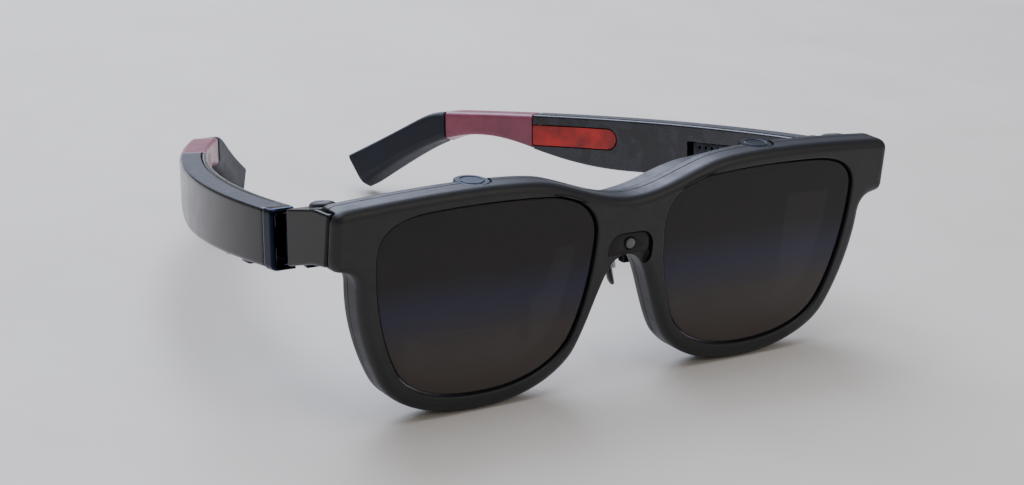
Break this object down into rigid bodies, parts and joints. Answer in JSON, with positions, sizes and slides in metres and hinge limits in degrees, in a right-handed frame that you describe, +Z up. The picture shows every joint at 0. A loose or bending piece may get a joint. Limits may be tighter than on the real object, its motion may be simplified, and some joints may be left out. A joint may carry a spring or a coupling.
{
  "type": "smart glasses",
  "caption": "Display smart glasses: tinted front with see-through optics, focus dials, tilting nose pads and two folding audio temples.",
  "frame": {"origin": "middle of the bounding box on the surface the open glasses stand on", "axes": "+X to the wearer's left, +Y from the front face back along the temples, +Z up"},
  "size_m": [0.1536, 0.1448, 0.0495],
  "materials": {
    "soft_black": "soft-touch matt black polycarbonate",
    "gloss_black": "piano-black gloss",
    "tinted_glass": "smoke-brown tinted, mirror-coated, black printed edge",
    "clear_glass": "polished, anti-reflection coated",
    "half_mirror": "half-silvered coating",
    "display_black": "dark display glass",
    "board_green": "solder-masked circuit board",
    "satin_dial": "dark blue-grey anodised, knurled",
    "blue_metal": "polished dark blue PVD metal",
    "steel": "fine brushed",
    "silicone": "matt black silicone",
    "red_glow": "translucent red, soft satin",
    "rose_clear": "translucent rose",
    "navy_soft": "soft matt navy-black",
    "grille_dark": "etched dark mesh",
    "gold": "gold-plated contacts",
    "sensor_grey": "grey diffuser"
  },
  "bodies": {
    "root": {"front_cover": "soft_black", "chassis": "soft_black", "rear_housing": "soft_black", "bridge_plate": "gloss_black", "light_sensor": "sensor_grey", "nose_bracket": "soft_black", "main_flex_board": "board_green", "lens_pane_left": "tinted_glass", "lens_pane_right": "tinted_glass", "optic_frame_left": "soft_black", "optic_frame_right": "soft_black", "beam_splitter_left": "half_mirror", "beam_splitter_right": "half_mirror", "combiner_left": "half_mirror", "combiner_right": "half_mirror", "micro_display_left": "display_black", "micro_display_right": "display_black", "endpiece_left": "soft_black", "endpiece_right": "soft_black", "side_trim_left": "gloss_black", "side_trim_right": "gloss_black", "hinge_cap_left": "soft_black", "hinge_cap_right": "soft_black", "hinge_leaf_left": "blue_metal", "hinge_leaf_right": "blue_metal", "hinge_pin_left": "steel", "hinge_pin_right": "steel"},
    "temple_left": {"temple_shell_left": "gloss_black", "temple_knuckle_left": "blue_metal", "collar_left": "blue_metal", "inner_cover_left": "gloss_black", "speaker_grille_left": "grille_dark", "speaker_left": "steel", "temple_board_left": "board_green", "red_window_left": "red_glow", "sleeve_left": "rose_clear", "temple_tip_left": "navy_soft"},
    "focus_dial_left": {"focus_dial_left": "satin_dial"},
    "focus_carriage_left": {"focus_carriage_left": "soft_black", "focus_lens_left": "clear_glass"},
    "nose_pad_left": {"nose_pad_left": "silicone", "pad_carrier_left": "steel"},
    "temple_right": {"temple_shell_right": "gloss_black", "temple_knuckle_right": "blue_metal", "collar_right": "blue_metal", "inner_cover_right": "gloss_black", "speaker_grille_right": "grille_dark", "speaker_right": "steel", "temple_board_right": "board_green", "red_window_right": "red_glow", "sleeve_right": "rose_clear", "temple_tip_right": "navy_soft", "contact_port": "gold"},
    "focus_dial_right": {"focus_dial_right": "satin_dial"},
    "focus_carriage_right": {"focus_carriage_right": "soft_black", "focus_lens_right": "clear_glass"},
    "nose_pad_right": {"nose_pad_right": "silicone", "pad_carrier_right": "steel"},
    "mode_button": {"mode_button": "satin_dial"},
    "volume_rocker": {"volume_rocker": "satin_dial"}
  },
  "joints": [
    {"name": "temple_left_fold", "type": "hinge", "parent": "root", "child": "temple_left", "pos_m": [0.0693, -0.0528, 0.0365], "axis": [0, 0, 1], "range_deg": [0, 66]},
    {"name": "temple_right_fold", "type": "hinge", "parent": "root", "child": "temple_right", "pos_m": [-0.0693, -0.0528, 0.0365], "axis": [0, 0, -1], "range_deg": [0, 44]},
    {"name": "focus_dial_left_turn", "type": "hinge", "parent": "root", "child": "focus_dial_left", "pos_m": [0.0389, -0.066, 0.0477], "axis": [0, 0, 1], "range_deg": [0, 300]},
    {"name": "focus_carriage_left_slide", "type": "slide", "parent": "root", "child": "focus_carriage_left", "axis": [0, 0, -1], "range_m": [0, 0.0025]},
    {"name": "nose_pad_left_tilt", "type": "hinge", "parent": "root", "child": "nose_pad_left", "pos_m": [0.0122, -0.0536, 0.0224], "axis": [0, 1, 0], "range_deg": [-10, 10]},
    {"name": "focus_dial_right_turn", "type": "hinge", "parent": "root", "child": "focus_dial_right", "pos_m": [-0.0389, -0.066, 0.0477], "axis": [0, 0, 1], "range_deg": [0, 300]},
    {"name": "focus_carriage_right_slide", "type": "slide", "parent": "root", "child": "focus_carriage_right", "axis": [0, 0, -1], "range_m": [0, 0.0025]},
    {"name": "nose_pad_right_tilt", "type": "hinge", "parent": "root", "child": "nose_pad_right", "pos_m": [-0.0122, -0.0536, 0.0224], "axis": [0, 1, 0], "range_deg": [-10, 10]},
    {"name": "mode_button_press", "type": "slide", "parent": "temple_right", "child": "mode_button", "axis": [0, 0.1633, 0.9866], "range_m": [0, 0.0005], "stiffness_N_per_m": 1200, "springref_m": -0.0002},
    {"name": "volume_rocker_tilt", "type": "hinge", "parent": "temple_right", "child": "volume_rocker", "pos_m": [-0.06958, -0.01905, 0.02564], "axis": [-0.9789, 0.2015, -0.0334], "range_deg": [-2, 2], "stiffness_Nm_per_rad": 0.06}
  ],
  "couplings": [
    {"joint": "focus_dial_left_turn", "follows": "focus_carriage_left_slide", "rad_per_m": 2094.4},
    {"joint": "focus_dial_right_turn", "follows": "focus_carriage_right_slide", "rad_per_m": 2094.4}
  ]
}
